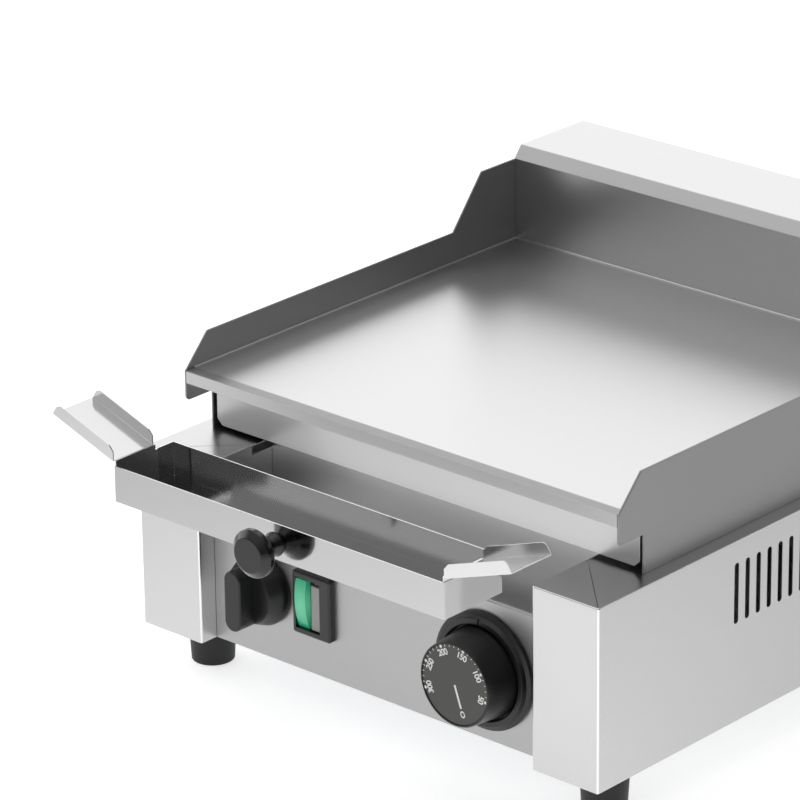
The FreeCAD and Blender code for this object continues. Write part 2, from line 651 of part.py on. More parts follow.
def switch_body():
    """Switch case behind the panel, open in front where the rocker swings."""
    body = new_body("switch_body")
    low, high = bezel_back, f"{bezel_back} + switch_body_depth"
    wide = "bezel_width / 2 - switch_wall - slip"
    tall = "bezel_height / 2 - switch_wall - slip"
    pad(body, "XZ", low, high, box(f"switch_x - ({wide})", f"switch_x + {wide}",
                                   f"{switch_height} - ({tall})", f"{switch_height} + {tall}"))
    cut(body, "XZ", low, f"{low} + rocker_well",
        box(rocker_x + " - rocker_gap", rocker_x + " + rocker_width + rocker_gap",
            f"{switch_height} - window_height / 2 + rocker_gap",
            f"{switch_height} + window_height / 2 - rocker_gap"))
    for row in ("-1", "0", "1"):
        level = f"{switch_height} + {row} * tab_pitch"
        pad(body, "XZ", high, f"{high} + tab_length",
            box("switch_x - tab_width / 2", "switch_x + tab_width / 2",
                f"{level} - tab_thick / 2", f"{level} + tab_thick / 2"))
    return body


def rocker():
    """Narrow lit rocker with a curved face; it rocks about a pin across the switch."""
    body = new_body("rocker")
    middle = f"{rocker_y} + rocker_back"
    tall = "rocker_height / 2"
    sketch = new_sketch(body, "YZ", rocker_x)
    pivot = (value(middle), value(switch_height))
    reach, bulge = value(tall), value("rocker_bulge")
    face_end = f"{rocker_y} - rocker_proud"
    front = value(face_end)
    top = FreeCAD.Vector(front, pivot[1] + reach, 0)
    bottom = FreeCAD.Vector(front, pivot[1] - reach, 0)
    crown = FreeCAD.Vector(front - bulge, pivot[1], 0)
    face = sketch.addGeometry(Part.Arc(top, crown, bottom), False)
    corners = [(face_end, f"{switch_height} - {tall}"),
               (middle, f"{switch_height} - {tall} + rocker_relief"),
               (middle, f"{switch_height} + {tall} - rocker_relief"),
               (face_end, f"{switch_height} + {tall}")]
    lines = []
    for (x1, y1), (x2, y2) in zip(corners, corners[1:]):
        a = FreeCAD.Vector(value(x1), value(y1), 0)
        b = FreeCAD.Vector(value(x2), value(y2), 0)
        lines.append(sketch.addGeometry(Part.LineSegment(a, b), False))
    sketch.addConstraint(Sketcher.Constraint("Coincident", lines[0], 2, lines[1], 1))
    sketch.addConstraint(Sketcher.Constraint("Coincident", lines[1], 2, lines[2], 1))
    ends = {1: sketch.getPoint(face, 1), 2: sketch.getPoint(face, 2)}
    low_end = 1 if ends[1].y < ends[2].y else 2
    sketch.addConstraint(Sketcher.Constraint("Coincident", lines[0], 1, face, low_end))
    sketch.addConstraint(Sketcher.Constraint("Coincident", lines[2], 2, face, 3 - low_end))
    for line, (x, y) in zip(lines, corners):
        fix(sketch, "DistanceX", line, x, 1)
        fix(sketch, "DistanceY", line, y, 1)
    fix(sketch, "DistanceX", lines[2], corners[3][0], 2)
    fix(sketch, "DistanceY", lines[2], corners[3][1], 2)
    radius = f"(rocker_bulge * rocker_bulge + {tall} * {tall}) / (2 * rocker_bulge)"
    fix(sketch, "Radius", face, radius)
    feature = body.newObject("PartDesign::Pad", "rocker_pad")
    feature.Profile = sketch
    feature.setExpression("Length", linked("rocker_width"))
    doc.recompute()
    pad(body, "YZ", f"{rocker_x} - rocker_gap / 2", f"{rocker_x} + rocker_width + rocker_gap / 2",
        (middle, switch_height, "rocker_pin"))
    centre = FreeCAD.Vector(0, pivot[0], pivot[1])
    turn = FreeCAD.Rotation(FreeCAD.Vector(1, 0, 0), sizes["rocker_tilt"])
    body.Placement = FreeCAD.Placement(FreeCAD.Vector(0, 0, 0), turn, centre)
    doc.recompute()
    return body


def pilot_lens():
    """Flat grey lens beside the rocker."""
    body = new_body("pilot_lens")
    left = f"({window_x} + window_width - lens_width - rocker_gap)"
    centre = f"({switch_height} - lens_drop)"
    pad(body, "XZ", f"{rocker_y} - lens_proud", rocker_y,
        box(left, f"{left} + lens_width", f"{centre} - lens_height / 2", f"{centre} + lens_height / 2"))
    rounded(body, "lens_proud / 3", lambda middle, along, edge:
            near(middle.y, f"{rocker_y} - lens_proud"), "Chamfer")
    return body


panel_face = behind("panel_setback")
dial_height = from_base("dial_z")


def dial_flange():
    """Fixed scale ring on the panel, with the index slit at its top."""
    body = new_body("dial_flange")
    ring = f"{panel_face} - ring_height"
    lying(body, "dial_x", dial_height,
          [(panel_face, "flange_radius"), (f"{panel_face} - ring_step", "flange_radius"),
           (f"{panel_face} - ring_step - ring_chamfer", "ring_radius"), (ring, "ring_radius - ring_chamfer"),
           (ring, "ring_inner + ring_edge"), (f"{ring} + ring_edge", "ring_inner"),
           (f"{panel_face} - ring_floor", "ring_inner"), (f"{panel_face} - ring_floor", "shaft_hole"),
           (panel_face, "shaft_hole")])
    cut(body, "XZ", ring, f"{ring} + index_depth",
        box("dial_x - index_width / 2", "dial_x + index_width / 2",
            f"{dial_height} + ring_inner - ring_edge", f"{dial_height} + ring_radius + ring_edge"))
    return body


def thermostat_knob():
    """Tapered knob with a sunk face for the dial disc."""
    body = new_body("thermostat_knob")
    back = f"{panel_face} - ring_floor - knob_gap"
    front = f"{panel_face} - knob_front"
    bore = f"{front} + knob_wall"
    lying(body, "dial_x", dial_height,
          [(back, "knob_base"), (f"{panel_face} - ring_height", "knob_base"),
           (f"{panel_face} - ring_height - knob_step", "knob_base - knob_step_in"),
           (f"{front} + knob_edge", "knob_face + knob_edge_out"),
           (front, "knob_face"), (front, "knob_face - dial_rim"),
           (f"{front} + dial_recess + dial_thick", "knob_face - dial_rim"),
           (f"{front} + dial_recess + dial_thick", "0"), (bore, "0"),
           (bore, "shaft_radius"), (back, "shaft_radius")])
    return body


def dial_disc():
    """Printed face of the knob."""
    body = new_body("dial_disc")
    front = f"{panel_face} - knob_front + dial_recess"
    lying(body, "dial_x", dial_height,
          [(front, "0"), (front, "knob_face - dial_rim - dial_gap"),
           (f"{front} + dial_thick", "knob_face - dial_rim - dial_gap"), (f"{front} + dial_thick", "0")])
    return body


def thermostat_shaft():
    """Steel spindle that the knob presses onto."""
    body = new_body("thermostat_shaft")
    front = f"{panel_face} - knob_front + knob_wall"
    end = behind("panel_setback + sheet + stat_boss")
    lying(body, "dial_x", dial_height,
          [(front, "0"), (front, "shaft_radius"), (end, "shaft_radius"), (end, "0")])
    return body


def thermostat_body():
    """Regulator behind the panel, with the bush that carries the spindle."""
    body = new_body("thermostat_body")
    start = behind("panel_setback + sheet")
    lying(body, "dial_x", dial_height,
          [(start, "shaft_radius + shaft_fit"), (start, "stat_boss_radius"),
           (f"{start} + stat_boss + 2 * boss_sink", "stat_boss_radius"),
           (f"{start} + stat_boss + 2 * boss_sink", "shaft_radius + shaft_fit")])
    low = f"{start} + stat_boss + boss_sink"
    pad(body, "XZ", low, f"{start} + stat_boss + stat_depth",
        box("dial_x - stat_width / 2", "dial_x + stat_width / 2",
            f"{dial_height} - stat_height / 2", f"{dial_height} + stat_height / 2"))
    rounded(body, "bezel_corner", lambda middle, along, edge: is_along(along, "y") and edge.Length > 20)
    return body


def selector_knob():
    """Rotary switch knob: round skirt and a straight bar grip."""
    body = new_body("selector_knob")
    back = f"{panel_face} - selector_gap"
    lying(body, "selector_x", dial_height,
          [(back, "0"), (back, "selector_skirt"), (f"{back} - selector_rim", "selector_skirt"),
           (f"{panel_face} - selector_skirt_depth", "selector_shoulder"),
           (f"{panel_face} - selector_skirt_depth", "0")])
    low, high = f"{panel_face} - selector_depth", f"{panel_face} - selector_skirt_depth + selector_rim"
    pad(body, "XZ", low, high,
        ("selector_x", dial_height, "2 * selector_bar_half", "selector_bar"))
    rounded(body, "selector_rounding", lambda middle, along, edge: near(middle.y, low))
    return body


def selector_shaft():
    body = new_body("selector_shaft")
    front, end = f"{panel_face} - selector_gap", behind("panel_setback + sheet + stat_boss")
    lying(body, "selector_x", dial_height,
          [(front, "0"), (front, "shaft_radius"), (end, "shaft_radius"), (end, "0")])
    return body


def selector_body():
    """Rotary switch case behind the panel."""
    body = new_body("selector_body")
    start = behind("panel_setback + sheet")
    lying(body, "selector_x", dial_height,
          [(start, "shaft_radius + shaft_fit"), (start, "stat_boss_radius"),
           (f"{start} + stat_boss + 2 * boss_sink", "stat_boss_radius"),
           (f"{start} + stat_boss + 2 * boss_sink", "shaft_radius + shaft_fit")])
    low = f"{start} + stat_boss + boss_sink"
    wide = "selector_body / 2"
    pad(body, "XZ", low, f"{start} + stat_boss + selector_body_depth",
        box(f"selector_x - {wide}", f"selector_x + {wide}",
            f"{dial_height} - {wide}", f"{dial_height} + {wide}"))
    rounded(body, "bezel_corner", lambda middle, along, edge: is_along(along, "y") and edge.Length > 20)
    return body


element_z = f"{plate_under} - element_radius - element_gap"


def run_path(body, plane, offset, starts):
    """Straight runs joined by half-turn arcs, as one sketch."""
    sketch = new_sketch(body, plane, offset)
    normal = FreeCAD.Vector(0, 0, 1)
    lines = []
    for x, y_start, y_end in starts:
        a = FreeCAD.Vector(value(x), value(y_start), 0)
        b = FreeCAD.Vector(value(x), value(y_end), 0)
        line = sketch.addGeometry(Part.LineSegment(a, b), False)
        for point, y in ((1, y_start), (2, y_end)):
            fix(sketch, "DistanceX", line, x, point)
            fix(sketch, "DistanceY", line, y, point)
        lines.append(line)
    for one, other in zip(lines, lines[1:]):
        a, b = sketch.getPoint(one, 2), sketch.getPoint(other, 1)
        centre = (a + b) * 0.5
        radius = (b - a).Length / 2
        forward = sketch.getPoint(one, 2).y > sketch.getPoint(one, 1).y
        start = 0 if forward else math.pi
        whole = Part.Circle(centre, normal, radius)
        arc = sketch.addGeometry(Part.ArcOfCircle(whole, start, start + math.pi))
        first = 2 if (sketch.getPoint(arc, 2) - a).Length < 0.01 else 1
        sketch.addConstraint(Sketcher.Constraint("Coincident", one, 2, arc, first))
        sketch.addConstraint(Sketcher.Constraint("Tangent", arc, 3 - first, other, 1))
    return sketch


def heating_element():
    """Tubular element in four runs under the plate, both cold ends at the back."""
    body = new_body("heating_element")
    back, front = behind("element_back"), behind("element_front")
    turn = behind("element_back - element_turn")
    columns = [f"{step} * element_pitch" for step in ("-1.5", "-0.5", "0.5", "1.5")]
    path = run_path(body, "XY", element_z,
                    [(columns[0], back, front), (columns[1], front, turn),
                     (columns[2], turn, front), (columns[3], front, back)])
    profile = new_sketch(body, "XZ", f"-({back})")
    circle(profile, columns[0], element_z, "element_radius")
    pipe = body.newObject("PartDesign::AdditivePipe", "element_pipe")
    pipe.Profile = profile
    pipe.Spine = (path, [""])
    doc.recompute()
    return body


clamp_top = f"{plate_under} - 2 * element_radius - 2 * element_gap"


def stud_places():
    return [(f"{side} * stud_x", behind(y)) for side in (1, -1) for y in ("clamp_front", "clamp_back")]


def element_clamps():
    """Two bars that press the element against the plate."""
    body = new_body("element_clamps")
    low, high = f"{clamp_top} - clamp_thick", clamp_top
    for y in ("clamp_front", "clamp_back"):
        pad(body, "XY", low, high,
            box("-clamp_length / 2", "clamp_length / 2",
                behind(f"{y} - clamp_width / 2"), behind(f"{y} + clamp_width / 2")))
    cut(body, "XY", low, high, *[(x, y, "stud_hole") for x, y in stud_places()])
    return body


mat_top = f"{clamp_top} - clamp_thick - mat_gap"
shield_floor = f"{mat_top} - mat_thick - shield_sheet"


def insulation_mat():
    body = new_body("insulation_mat")
    low, high = f"{mat_top} - mat_thick", mat_top
    pad(body, "XY", low, high, box("-mat_half", "mat_half", behind("mat_front"), behind("mat_back")))
    cut(body, "XY", low, high, *[(x, y, "stud_hole") for x, y in stud_places()])
    return body


def heat_shield():
    """Shallow tray that carries the insulation."""
    body = new_body("heat_shield")
    outer = "(mat_half + shield_sheet)"
    front, back = behind("mat_front - shield_sheet"), behind("mat_back + shield_sheet")
    top = f"{shield_floor} + shield_sheet + shield_wall"
    pad(body, "XY", shield_floor, top, box(f"-{outer}", outer, front, back))
    cut(body, "XY", f"{shield_floor} + shield_sheet", top,
        box("-mat_half", "mat_half", behind("mat_front"), behind("mat_back")))
    cut(body, "XY", shield_floor, f"{shield_floor} + shield_sheet",
        *[(x, y, "stud_hole") for x, y in stud_places()])
    return body


def clamp_studs():
    """Studs welded under the plate, through clamps, mat and shield."""
    body = new_body("clamp_studs")
    pad(body, "XY", f"{shield_floor} - nut_height - stud_end", plate_under,
        *[(x, y, "stud_radius") for x, y in stud_places()])
    return body


def clamp_nuts():
    body = new_body("clamp_nuts")
    low, high = f"{shield_floor} - nut_height", shield_floor
    pad(body, "XY", low, high, *[hexagon(x, y, "nut_flats") for x, y in stud_places()])
    cut(body, "XY", low, high, *[(x, y, "stud_radius + slip") for x, y in stud_places()])
    return body


def sensor_bulb():
    """Thermostat bulb along the underside of the plate."""
    body = new_body("sensor_bulb")
    height = f"{plate_under} - bulb_radius - bulb_gap"
    start = behind("clamp_front")
    lying(body, "bulb_x", height,
          [(start, "0"), (start, "capillary_radius"), (f"{start} + bulb_neck", "bulb_radius"),
           (f"{start} + bulb_length", "bulb_radius"), (f"{start} + bulb_length + bulb_tip", "0")])
    return body


def safety_limiter():
    """High-limit cut-out on the base plate."""
    body = new_body("safety_limiter")
    wide = "limiter_width / 2"
    low = from_base("2 * sheet")
    pad(body, "XY", low, f"{low} + limiter_height",
        box(f"-limiter_x - {wide}", f"-limiter_x + {wide}",
            behind("terminal_y"), behind("terminal_y + limiter_depth")))
    rounded(body, "bezel_corner", lambda middle, along, edge: is_along(along, "z"))
    tip, root = behind("terminal_y - limiter_button"), behind("terminal_y + boss_sink")
    lying(body, "-limiter_x", f"{low} + limiter_height / 2",
          [(tip, "0"), (tip, "stat_boss_radius"), (root, "stat_boss_radius"), (root, "0")])
    return body


def terminal_block():
    """Three-way mains terminal on the base plate."""
    body = new_body("terminal_block")
    low = from_base("2 * sheet")
    pad(body, "XY", low, f"{low} + terminal_height",
        box("terminal_x - terminal_width / 2", "terminal_x + terminal_width / 2",
            behind("terminal_y"), behind("terminal_y + terminal_depth")))
    for step in ("-1", "1"):
        wall = f"terminal_x + {step} * terminal_width / 6"
        cut(body, "XY", f"{low} + terminal_height / 2", f"{low} + terminal_height",
            box(f"{wall} - terminal_slot / 2", f"{wall} + terminal_slot / 2",
                behind("terminal_y"), behind("terminal_y + terminal_depth")))
    cut(body, "XY", f"{low} + terminal_height / 2", f"{low} + terminal_height",
        *[(f"terminal_x + {step} * terminal_width / 3", behind("terminal_y + terminal_depth / 2"),
           "terminal_screw")
          for step in ("-1", "0", "1")])
    return body


def cable_gland():
    """Cable gland in the rear panel: hexagon, dome and bore."""
    body = new_body("cable_gland")
    skin = behind("depth - sheet - slip")
    out = f"{skin} + gland_out"
    lying(body, "gland_x", from_base("gland_z"),
          [(behind("depth - 2 * sheet - slip - gland_in"), "gland_bore"),
           (behind("depth - 2 * sheet - slip - gland_in"), "gland_thread"), (skin, "gland_thread"),
           (skin, "gland_radius"), (f"{out} - gland_dome * 2", "gland_radius"),
           (f"{out} - gland_dome", "gland_radius - gland_dome / 2"), (out, "gland_radius - gland_dome"),
           (out, "gland_bore")])
    pad(body, "XZ", skin, f"{skin} + gland_hexagon", hexagon("gland_x", from_base("gland_z"), "gland_flats"),
        ("gland_x", from_base("gland_z"), "gland_bore"))
    return body


def gland_nut():
    body = new_body("gland_nut")
    high = behind("depth - 2 * sheet - slip")
    low = f"{high} - gland_nut_height"
    pad(body, "XZ", low, high, hexagon("gland_x", from_base("gland_z"), "gland_flats"),
        ("gland_x", from_base("gland_z"), "gland_thread + slip"))
    return body


def shell_screws():
    """Screws through the rear return flanges into the rear panel."""
    body = new_body("shell_screws")
    spots = [(f"{side} * ({half} - screw_inset)", z) for side in (1, -1) for z in screw_heights()]
    face = behind("depth")
    pad(body, "XZ", face, f"{face} + screw_head_height", *[(x, z, "screw_head") for x, z in spots])
    pad(body, "XZ", f"{face} - screw_length", face, *[(x, z, "screw_radius") for x, z in spots])
    rounded(body, "screw_head_height / 2", lambda middle, along, edge:
            near(middle.y, f"{face} + screw_head_height"))
    return body


side_shell("right_shell", "1")
side_shell("left_shell", "-1")
control_panel()
rear_panel()
base_plate()
for label, side, y in (("foot_front_left", "-1", "foot_inset"), ("foot_front_right", "1", "foot_inset"),
                       ("foot_rear_left", "-1", "depth - foot_inset"),
                       ("foot_rear_right", "1", "depth - foot_inset")):
    foot(label, side, behind(y))
foot_screws()
foot_nuts()
griddle_plate()
guard("left_guard", "-1")
guard("right_guard", "1")
front_apron()
rear_hood()
drawer_tray()
drawer_wing("left_wing", "-1")
drawer_wing("right_wing", "1")
drawer_pull()
drawer_pull_screw()
switch_bezel()
switch_body()
rocker()
pilot_lens()
dial_flange()
thermostat_knob()
dial_disc()
thermostat_shaft()
thermostat_body()
selector_knob()
selector_shaft()
selector_body()
heating_element()
element_clamps()
insulation_mat()
heat_shield()
clamp_studs()
clamp_nuts()
sensor_bulb()
safety_limiter()
terminal_block()
cable_gland()
gland_nut()
shell_screws()
doc.recompute()

faults = [f"{item.Label}: {', '.join(item.State)}" for item in doc.Objects
          if "Invalid" in item.State or "Error" in item.State]
for label, body in parts.items():
    if body.Shape.isNull() or not body.Shape.isValid() or not body.Shape.Solids:
        faults.append(f"{label}: no valid solid")
if faults:
    raise RuntimeError("; ".join(faults))

os.makedirs("parts", exist_ok=True)
for label, body in parts.items():
    body.Shape.exportStep(f"parts/{label}.step")
    limits = body.Shape.BoundBox
    print(f"{label}: {len(body.Shape.Solids)} solid, volume {body.Shape.Volume:.0f}, "
          f"x {limits.XMin:.1f} to {limits.XMax:.1f}, y {limits.YMin:.1f} to {limits.YMax:.1f}, "
          f"z {limits.ZMin:.1f} to {limits.ZMax:.1f}")
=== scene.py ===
import json
import math
import bpy
from mathutils import Matrix, Vector


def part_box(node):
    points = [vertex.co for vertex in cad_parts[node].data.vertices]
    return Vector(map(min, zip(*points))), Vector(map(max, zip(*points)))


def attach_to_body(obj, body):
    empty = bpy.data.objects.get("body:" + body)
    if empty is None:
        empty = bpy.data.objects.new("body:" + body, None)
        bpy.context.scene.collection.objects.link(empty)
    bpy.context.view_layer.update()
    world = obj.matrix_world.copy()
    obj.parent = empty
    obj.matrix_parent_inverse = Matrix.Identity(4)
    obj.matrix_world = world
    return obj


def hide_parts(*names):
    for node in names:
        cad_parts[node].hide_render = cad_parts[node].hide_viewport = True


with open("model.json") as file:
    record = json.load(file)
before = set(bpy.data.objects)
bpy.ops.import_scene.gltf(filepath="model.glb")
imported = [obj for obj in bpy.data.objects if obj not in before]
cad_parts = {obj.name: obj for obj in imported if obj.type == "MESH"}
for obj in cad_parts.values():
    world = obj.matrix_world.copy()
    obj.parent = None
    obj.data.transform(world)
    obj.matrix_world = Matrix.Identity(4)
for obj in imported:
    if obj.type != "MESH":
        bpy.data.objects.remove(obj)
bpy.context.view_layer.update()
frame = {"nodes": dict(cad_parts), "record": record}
bpy.ops.object.select_all(action="DESELECT")

behaviour = frame["record"]["behaviour"]
bodyOf = {node: body for body, group in behaviour["bodies"].items() for node in group}
mm = 0.001


# colour and node helpers
def hexToLinear(code):
    values = [int(code[i:i + 2], 16) / 255 for i in (1, 3, 5)]
    return [v / 12.92 if v <= 0.04045 else ((v + 0.055) / 1.055) ** 2.4 for v in values] + [1.0]


def addNode(tree, kind, settings=None, inputs=None, links=None):
    # settings are properties, inputs are socket values, links are socket: (node, output)
    node = tree.nodes.new(kind)
    for name, setting in (settings or {}).items():
        setattr(node, name, setting)
    for name, number in (inputs or {}).items():
        node.inputs[name].default_value = number
    for name, (source, output) in (links or {}).items():
        tree.links.new(source.outputs[output], node.inputs[name])
    return node


def newMaterial(name):
    material = bpy.data.materials.new(name)
    material.use_nodes = True
    material.node_tree.nodes.clear()
    return material, material.node_tree


def addSurface(tree, inputs, links):
    # the shader, joined to the output; it is added last, when the nodes that it reads are there
    shader = addNode(tree, "ShaderNodeBsdfPrincipled", {}, inputs, links)
    addNode(tree, "ShaderNodeOutputMaterial", links={"Surface": (shader, "BSDF")})


# materials, each named for the real one or for the painted light it stands for
# the rubbed lines: how many finer marks they hold, how strong those are, and the depth in millimetres
rubbing = {"detail": 3.0, "fineMarks": 0.6, "depth": 0.03}


def sheetSteel(look):
    # cold-rolled stainless, rubbed one way: long faint lines, and highlights drawn out across them
    material, tree = newMaterial(look["named"])
    across = 1 / (look["lineSpacing"] * mm)
    scale = [across / look["lineLength"] if axis == look["grain"] else across for axis in "xyz"]
    position = addNode(tree, "ShaderNodeTexCoord")
    stretch = addNode(tree, "ShaderNodeMapping", {}, {"Scale": scale}, {"Vector": (position, "Object")})
    lines = addNode(tree, "ShaderNodeTexNoise", {},
                    {"Scale": 1.0, "Detail": rubbing["detail"], "Roughness": rubbing["fineMarks"]},
                    {"Vector": (stretch, "Vector")})
    rough = addNode(tree, "ShaderNodeMapRange", {},
                    {"To Min": look["rough"] - look["spread"], "To Max": look["rough"] + look["spread"]},
                    {"Value": (lines, "Fac")})
    # sockets 6 and 7 are the two colours of this node
    tone = addNode(tree, "ShaderNodeMix", {"data_type": "RGBA"},
                   {6: hexToLinear(look["dark"]), 7: hexToLinear(look["light"])},
                   {"Factor": (lines, "Fac")})
    relief = addNode(tree, "ShaderNodeBump", {},
                     {"Strength": look["relief"], "Distance": rubbing["depth"] * mm},
                     {"Height": (lines, "Fac")})
    addSurface(tree, {"Metallic": 1.0}, {"Base Color": (tone, 2), "Roughness": (rough, "Result"),
                                         "Normal": (relief, "Normal")})
    return material


# grain is the axis of the lines, lineSpacing is in millimetres and lineLength in spacings; grit 240 leaves
# lines 0.1 mm apart on the real sheets, drawn at 0.4 to 0.6 mm so that they show
steelLooks = {
    "sideways": {"named": "linished stainless sideways", "grain": "x", "lineSpacing": 0.5, "lineLength": 70,
                 "rough": 0.30, "spread": 0.04, "dark": "#D2D2D2", "light": "#DEDEDE", "relief": 0.10},
    "backwards": {"named": "linished stainless backwards", "grain": "y", "lineSpacing": 0.5,
                  "lineLength": 70, "rough": 0.30, "spread": 0.04, "dark": "#CCCCCC", "light": "#D6D6D6",
                  "relief": 0.10},
    # the control panel is a duller sheet
    "panel": {"named": "linished panel sheet", "grain": "x", "lineSpacing": 0.5, "lineLength": 70,
              "rough": 0.40, "spread": 0.04, "dark": "#AEAEAE", "light": "#B8B8B8", "relief": 0.10},
    # the hood and the apron are a shade darker than the housing
    "upper": {"named": "linished upper sheet", "grain": "x", "lineSpacing": 0.5, "lineLength": 70,
              "rough": 0.30, "spread": 0.04, "dark": "#C6C6C6", "light": "#D1D1D1", "relief": 0.10},
    # the lip is rubbed along the bend after folding; its slope is a darker copy of the plate's steel, a
    # painted shade, and its front is pale and matt
    "shadedLipSlope": {"named": "satin lip slope with painted shade", "grain": "x", "lineSpacing": 0.5, "lineLength": 40,
                 "rough": 0.34, "spread": 0.04, "dark": "#B4B4B4", "light": "#BEBEBE", "relief": 0.10},
    "lipFront": {"named": "satin rubbed lip front", "grain": "x", "lineSpacing": 0.5, "lineLength": 40,
                 "rough": 0.60, "spread": 0.04, "dark": "#DCDCDC", "light": "#E4E4E4", "relief": 0.10},
    # the guards are brushed from front to back with a coarser grit, which leaves them dull and dark
    "guard": {"named": "cross-brushed stainless", "grain": "y", "lineSpacing": 0.6, "lineLength": 30,
              "rough": 0.46, "spread": 0.04, "dark": "#9E9E9E", "light": "#A8A8A8", "relief": 0.12},
    # the cooking face is ground and polished from front to back: pale, with short marks
    "plate": {"named": "ground cooking steel", "grain": "y", "lineSpacing": 0.6, "lineLength": 18,
              "rough": 0.33, "spread": 0.03, "dark": "#D6D6D6", "light": "#DEDEDE", "relief": 0.10},
    # the drawer is thin bright rolled sheet, nearly a mirror
    "drawer": {"named": "bright rolled stainless", "grain": "x", "lineSpacing": 0.4, "lineLength": 90,
               "rough": 0.10, "spread": 0.015, "dark": "#BCBCBC", "light": "#C6C6C6", "relief": 0.04},
    # the drip chutes come from a paler sheet
    "chute": {"named": "pale rolled stainless", "grain": "x", "lineSpacing": 0.4, "lineLength": 90,
              "rough": 0.16, "spread": 0.02, "dark": "#D8D8D8", "light": "#E2E2E2", "relief": 0.04},
    # painted highlight: the drawer's hem and the housing's bends get a near-white sheet, so that they show
    # as bright lines
    "paintedHighlight": {"named": "painted highlight on hems and bends", "grain": "x", "lineSpacing": 0.4, "lineLength": 90,
            "rough": 0.22, "spread": 0.02, "dark": "#F2F2F2", "light": "#FAFAFA", "relief": 0.02},
}
steel = {name: sheetSteel(look) for name, look in steelLooks.items()}

# even pits of moulded, printed, fired and galvanised surfaces, with their depth in millimetres
pitting = {"detail": 2.0, "depth": 0.05}


def plainSurface(name, colour, rough, metallic=0.0, grain=0.0, grainSize=None, ior=1.5):
    # grain is how strongly the pits show and grainSize their size in millimetres
    material, tree = newMaterial(name)
    inputs = {"Base Color": hexToLinear(colour), "Metallic": metallic, "Roughness": rough}
    links = {}
    if not metallic:
        inputs["IOR"] = ior
    if grain:
        position = addNode(tree, "ShaderNodeTexCoord")
        pits = addNode(tree, "ShaderNodeTexNoise", {},
                       {"Scale": 1 / (grainSize * mm), "Detail": pitting["detail"]},
                       {"Vector": (position, "Object")})
        relief = addNode(tree, "ShaderNodeBump", {}, {"Strength": grain, "Distance": pitting["depth"] * mm},
                         {"Height": (pits, "Fac")})
        links["Normal"] = (relief, "Normal")
    addSurface(tree, inputs, links)
    return material


# PA66, moulded in a spark-eroded tool: satin, with a grain of about 0.3 mm, drawn at 0.5 mm
satinNylon = plainSurface("moulded black nylon", "#161617", 0.34, grain=0.15, grainSize=0.5)
# moulded phenolic, polished: near black with a sharp gloss
polishedPhenolic = plainSurface("polished black phenolic", "#0C0C0D", 0.16, ior=1.55)
# screen-printed paints: an even, half-matt dark grey ground and an opaque white ink
dialPaint = plainSurface("screen-printed dial face", "#454542", 0.42, grain=0.08, grainSize=0.3)
whiteInk = plainSurface("white screen ink", "#F1F1EE", 0.5)
# moulded rubber: nearly matt black, slightly grained
footRubber = plainSurface("moulded nitrile rubber", "#1A1A1B", 0.55, grain=0.2, grainSize=0.6)
# electroplated screws and spindles are bright, and hot-dipped sheet has dull crystals about 3 mm across
zincPlate = plainSurface("bright zinc plating", "#C9CCD0", 0.24, metallic=1.0)
dullZinc = plainSurface("galvanised sheet", "#A9ADB0", 0.42, metallic=1.0, grain=0.2, grainSize=3.0)
# the heater's tube has been annealed: a warm dark grey
sheathMetal = plainSurface("annealed heater sheath", "#6E6862", 0.45, metallic=1.0)
# needled mineral wool: matt, soft and cream
mineralFelt = plainSurface("needled mineral felt", "#DAD5C6", 0.95, grain=0.8, grainSize=1.2)
# tube drawn through a die: smooth and reddish
drawnCopper = plainSurface("drawn copper", "#C98058", 0.3, metallic=1.0)
# pressed and fired ceramic without a glaze: chalky
steatite = plainSurface("unglazed steatite", "#E2DDCF", 0.6, grain=0.2, grainSize=0.5)
# pressed from rolled sheet: plain and half-matt
pressedMetal = plainSurface("pressed aluminium case", "#B9BABB", 0.38, metallic=1.0)
# moulded polycarbonate with a frosted back: an even grey with a soft gloss
frostedLens = plainSurface("frosted grey polycarbonate", "#9A9C99", 0.3, ior=1.58)

# the lamp's glow reaches this far from the middle of the rocker in millimetres: sideways, backwards and up
rockerLight = {
    "reach": (12, 30, 14.5), "rim": "#1F8F68", "core": "#7FD9AE", "coreAt": 0.85, "strength": 0.42,
    "colour": "#2F9B72", "rough": 0.25, "ior": 1.58,
}


def litGreen():
    # translucent polycarbonate, moulded smooth, with a lamp behind its middle, so it glows most there
    material, tree = newMaterial("lit green polycarbonate")
    reach = [size * mm for size in rockerLight["reach"]]
    low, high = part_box("rocker")
    offset = [-(a + b) / 2 / size for a, b, size in zip(low, high, reach)]
    position = addNode(tree, "ShaderNodeTexCoord")
    centred = addNode(tree, "ShaderNodeMapping", {},
                      {"Location": offset, "Scale": [1 / size for size in reach]},
                      {"Vector": (position, "Object")})
    ball = addNode(tree, "ShaderNodeTexGradient", {"gradient_type": "SPHERICAL"}, {},
                   {"Vector": (centred, "Vector")})
    ramp = addNode(tree, "ShaderNodeValToRGB", {}, {}, {"Fac": (ball, "Fac")})
    rim, core = ramp.color_ramp.elements
    rim.color, core.color = hexToLinear(rockerLight["rim"]), hexToLinear(rockerLight["core"])
    core.position = rockerLight["coreAt"]
    addSurface(tree, {"Base Color": hexToLinear(rockerLight["colour"]), "Roughness": rockerLight["rough"],
                      "IOR": rockerLight["ior"], "Emission Strength": rockerLight["strength"]},
               {"Emission Color": (ramp, "Color")})
    return material


greenLens = litGreen()
print("materials ready")

